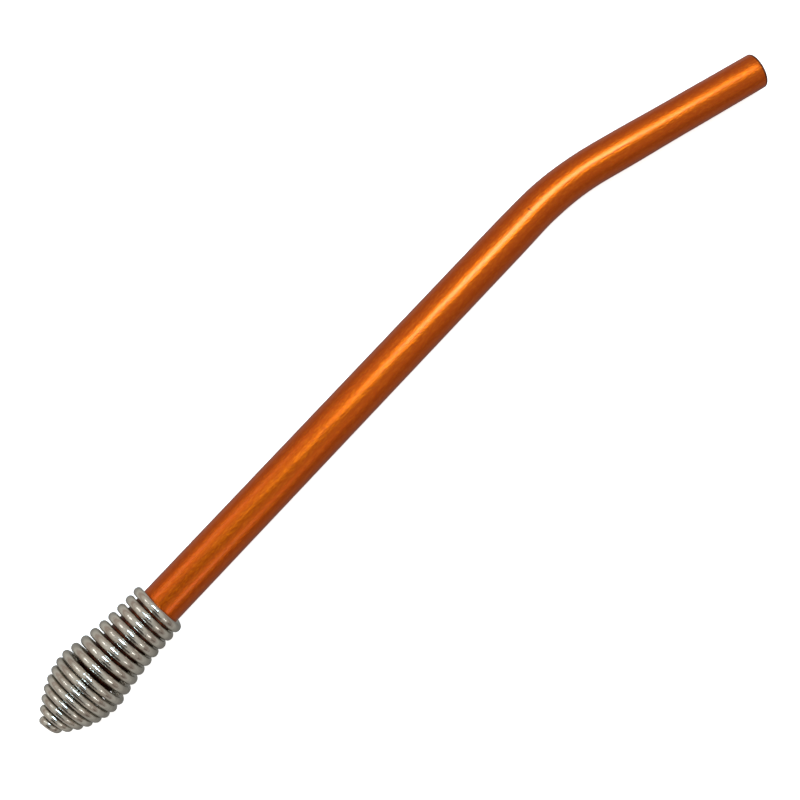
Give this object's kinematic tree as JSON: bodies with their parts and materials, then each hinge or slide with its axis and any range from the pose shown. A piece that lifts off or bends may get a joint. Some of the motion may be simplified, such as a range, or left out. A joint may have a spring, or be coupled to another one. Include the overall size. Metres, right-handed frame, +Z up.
{
  "type": "bombilla",
  "caption": "Metal drinking straw for mate: an orange tube with a gentle bend near the mouth and a coil-spring leaf filter that pulls off its lower end.",
  "frame": {"origin": "middle of the straw's footprint, on the table that it lies on", "axes": "+X along the shank towards the mouth, +Z up from the table; the bend turns the mouth towards -Y"},
  "size_m": [0.1838, 0.0236, 0.0141],
  "materials": {
    "anodised_aluminium": "satin orange anodised, with a fine drawn grain along the tube",
    "nickel_plated_wire": "bright nickel plate on round spring wire"
  },
  "bodies": {
    "tube": {"tube": "anodised_aluminium"},
    "filter_spring": {"filter_spring": "nickel_plated_wire"}
  },
  "joints": [
    {"name": "filter_pull", "type": "slide", "parent": "tube", "child": "filter_spring", "axis": [-0.9997, 0.0011, 0.0256], "range_m": [0, 0.025]}
  ]
}
